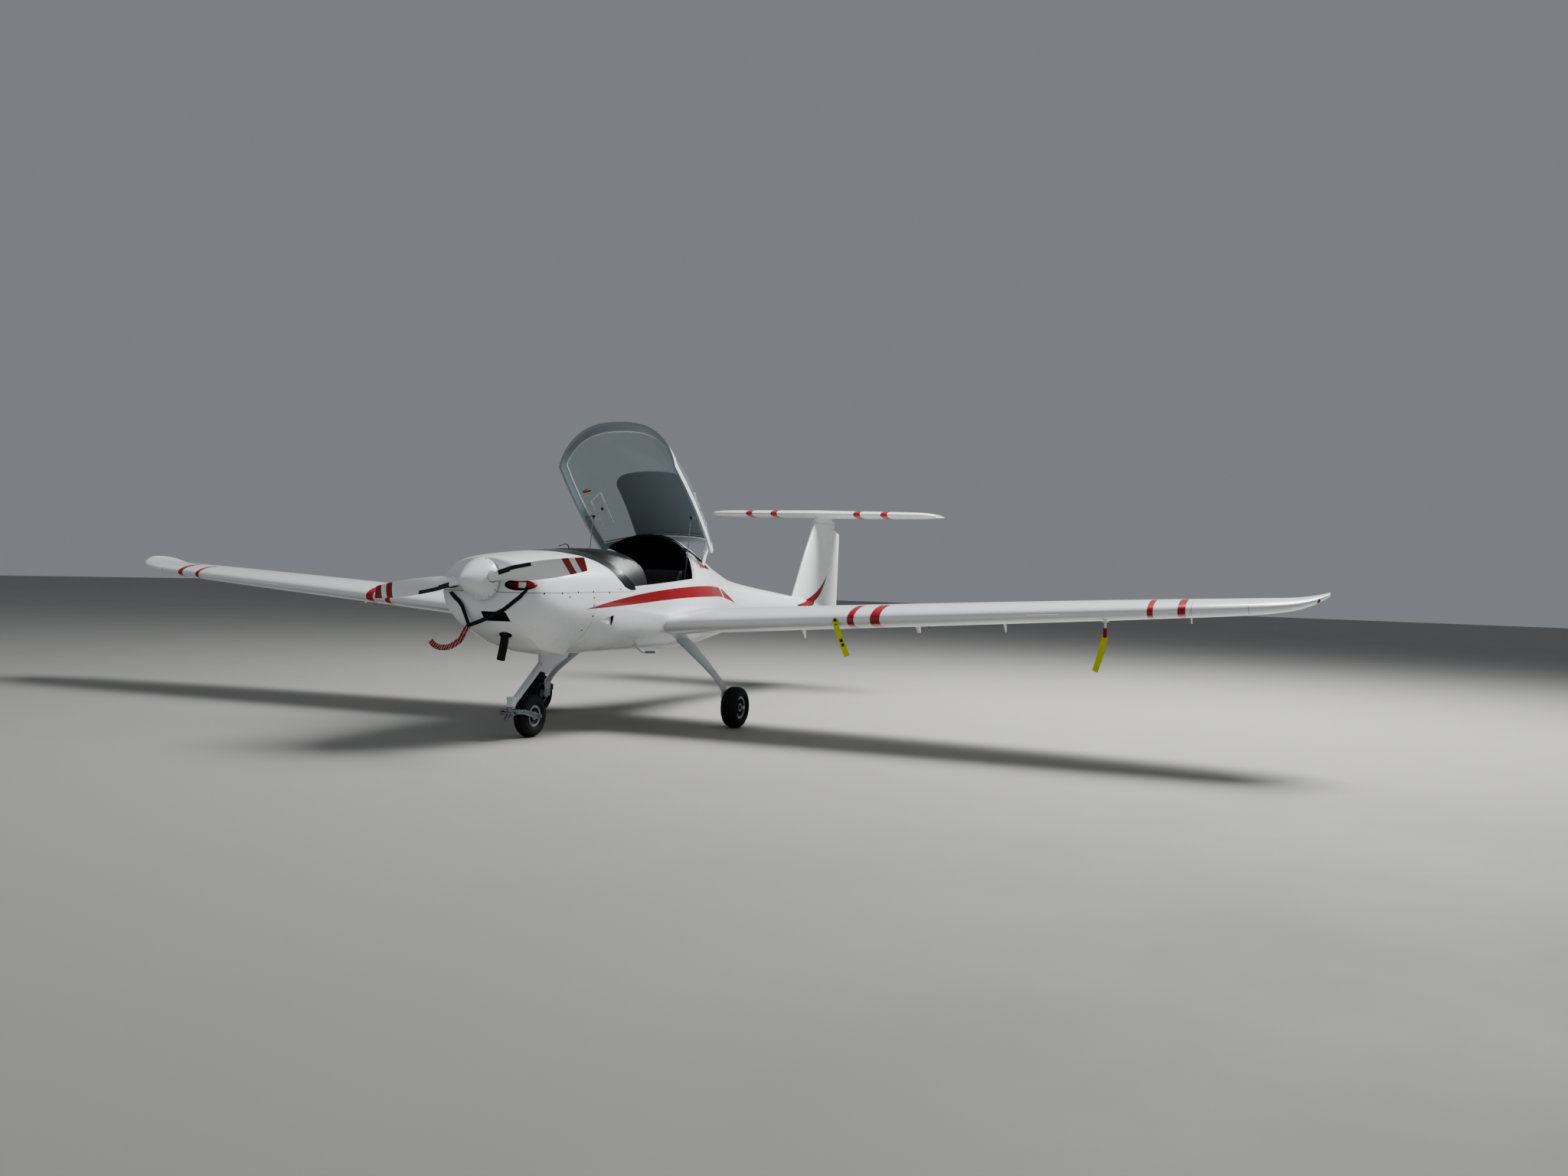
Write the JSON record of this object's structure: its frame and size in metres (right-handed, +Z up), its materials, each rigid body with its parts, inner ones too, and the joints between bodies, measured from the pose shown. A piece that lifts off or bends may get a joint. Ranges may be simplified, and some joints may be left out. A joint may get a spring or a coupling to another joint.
{
  "type": "two-seat light aircraft",
  "caption": "Low-wing two-seat light aircraft with T-tail, castering nose wheel, spring main legs, rear-hinged clear canopy held open, and turning propeller.",
  "frame": {"origin": "on the ground below the middle of the box round the whole aircraft", "axes": "+X toward the nose, +Y toward the left wing tip, +Z up"},
  "size_m": [7.1999, 10.87, 2.4658],
  "materials": {
    "gelcoat": "glossy white paint over composite skin, with red stripes",
    "grey_paint": "light grey enamel",
    "cover": "red coated fabric over foam",
    "webbing": "black nylon webbing",
    "flag_cloth": "yellow coated nylon",
    "engine": "bare casting",
    "black_steel": "black enamel",
    "bright_steel": "ground",
    "canopy_acrylic": "clear formed acrylic",
    "hood_vinyl": "black grained vinyl",
    "seat_leather": "dark leather",
    "black_plastic": "moulded",
    "rim_alloy": "painted casting",
    "tyre": "black rubber"
  },
  "bodies": {
    "airframe": {"upper_cowl": "gelcoat", "lower_cowl": "gelcoat", "inlet_plug_left": "cover", "inlet_plug_right": "cover", "engine_block": "engine", "exhaust_pipe": "black_steel", "fuselage": "gelcoat", "tail_cone": "gelcoat", "wing_left": "gelcoat", "wing_right": "gelcoat", "fin": "gelcoat", "stabiliser": "gelcoat", "instrument_hood": "hood_vinyl", "seat_left": "seat_leather", "seat_right": "seat_leather", "control_stick_left": "black_plastic", "control_stick_right": "black_plastic", "step_left": "grey_paint", "step_right": "grey_paint", "main_leg_left": "grey_paint", "main_leg_right": "grey_paint", "nose_leg": "grey_paint", "plug_strap": "webbing", "pin_flag": "flag_cloth", "probe_cover": "cover"},
    "propeller": {"spinner": "gelcoat", "blade_left": "gelcoat", "blade_right": "gelcoat"},
    "canopy": {"canopy_frame": "gelcoat", "canopy_glass": "canopy_acrylic", "canopy_roof_panel": "gelcoat"},
    "strut_left": {"strut_tube_left": "black_steel"},
    "strut_rod_left": {"strut_rod_left": "bright_steel"},
    "strut_right": {"strut_tube_right": "black_steel"},
    "strut_rod_right": {"strut_rod_right": "bright_steel"},
    "wheel_left": {"rim_left": "rim_alloy", "tyre_left": "tyre"},
    "wheel_right": {"rim_right": "rim_alloy", "tyre_right": "tyre"},
    "nose_fork": {"nose_fork": "grey_paint"},
    "nose_wheel": {"rim_nose": "rim_alloy", "tyre_nose": "tyre"},
    "rudder": {"rudder": "gelcoat"},
    "elevator": {"elevator": "gelcoat"},
    "aileron_left": {"aileron_left": "gelcoat"},
    "aileron_right": {"aileron_right": "gelcoat"},
    "flap_left": {"flap_left": "gelcoat"},
    "flap_right": {"flap_right": "gelcoat"}
  },
  "joints": [
    {"name": "propeller_spin", "type": "hinge", "parent": "airframe", "child": "propeller", "pos_m": [3.4, 0, 1.163], "axis": [1, 0, 0], "continuous": true},
    {"name": "nose_caster", "type": "hinge", "parent": "airframe", "child": "nose_fork", "pos_m": [2.945, 0, 0.24], "axis": [0, 0, 1], "range_deg": [-60, 60]},
    {"name": "nose_wheel_spin", "type": "hinge", "parent": "nose_fork", "child": "nose_wheel", "pos_m": [2.695, 0, 0.157], "axis": [0, 1, 0], "continuous": true},
    {"name": "wheel_left_spin", "type": "hinge", "parent": "airframe", "child": "wheel_left", "pos_m": [1.15, 0.95, 0.166], "axis": [0, 1, 0], "continuous": true},
    {"name": "wheel_right_spin", "type": "hinge", "parent": "airframe", "child": "wheel_right", "pos_m": [1.15, -0.95, 0.166], "axis": [0, 1, 0], "continuous": true},
    {"name": "canopy_tilt", "type": "hinge", "parent": "airframe", "child": "canopy", "pos_m": [0.758, 0, 0.948], "axis": [0, 1, 0], "range_deg": [0, 47.5]},
    {"name": "strut_left_tilt", "type": "hinge", "parent": "airframe", "child": "strut_left", "pos_m": [1.22, 0.47, 1.02], "axis": [0, 1, 0], "range_deg": [0, 69.52]},
    {"name": "strut_left_slide", "type": "slide", "parent": "strut_left", "child": "strut_rod_left", "axis": [-0.1794, 0, 0.9838], "range_m": [-0.32074, 0]},
    {"name": "strut_right_tilt", "type": "hinge", "parent": "airframe", "child": "strut_right", "pos_m": [1.22, -0.47, 1.02], "axis": [0, 1, 0], "range_deg": [0, 69.52]},
    {"name": "strut_right_slide", "type": "slide", "parent": "strut_right", "child": "strut_rod_right", "axis": [-0.1794, 0, 0.9838], "range_m": [-0.32074, 0]},
    {"name": "rudder_turn", "type": "hinge", "parent": "airframe", "child": "rudder", "pos_m": [-3.268, 0, 0.885], "axis": [-0.0622, 0, 0.9981], "range_deg": [-30, 30]},
    {"name": "elevator_turn", "type": "hinge", "parent": "airframe", "child": "elevator", "pos_m": [-3.3, -1.12, 1.948], "axis": [0, 1, 0], "range_deg": [-15, 25]},
    {"name": "aileron_left_turn", "type": "hinge", "parent": "airframe", "child": "aileron_left", "pos_m": [0.80758, 2.96, 1.00809], "axis": [0.0777, 0.9949, 0.0642], "range_deg": [-20, 15]},
    {"name": "aileron_right_turn", "type": "hinge", "parent": "airframe", "child": "aileron_right", "pos_m": [0.96373, -4.96, 1.13707], "axis": [-0.0777, 0.9949, -0.0642], "range_deg": [-15, 20]},
    {"name": "flap_left_turn", "type": "hinge", "parent": "airframe", "child": "flap_left", "pos_m": [0.72555, 0.64, 0.85644], "axis": [0.0345, 0.9973, 0.0652], "range_deg": [-45, 0]},
    {"name": "flap_right_turn", "type": "hinge", "parent": "airframe", "child": "flap_right", "pos_m": [0.80297, -2.88, 1.00297], "axis": [-0.0345, 0.9973, -0.0652], "range_deg": [-45, 0]}
  ],
  "couplings": [
    {"joint": "aileron_right_turn", "follows": "aileron_left_turn", "ratio": -1},
    {"joint": "flap_right_turn", "follows": "flap_left_turn", "ratio": 1},
    {"joint": "strut_left_tilt", "follows": "canopy_tilt", "ratio": 1.4636},
    {"joint": "strut_left_slide", "follows": "canopy_tilt", "m_per_rad": -0.38689},
    {"joint": "strut_right_tilt", "follows": "canopy_tilt", "ratio": 1.4636},
    {"joint": "strut_right_slide", "follows": "canopy_tilt", "m_per_rad": -0.38689}
  ]
}
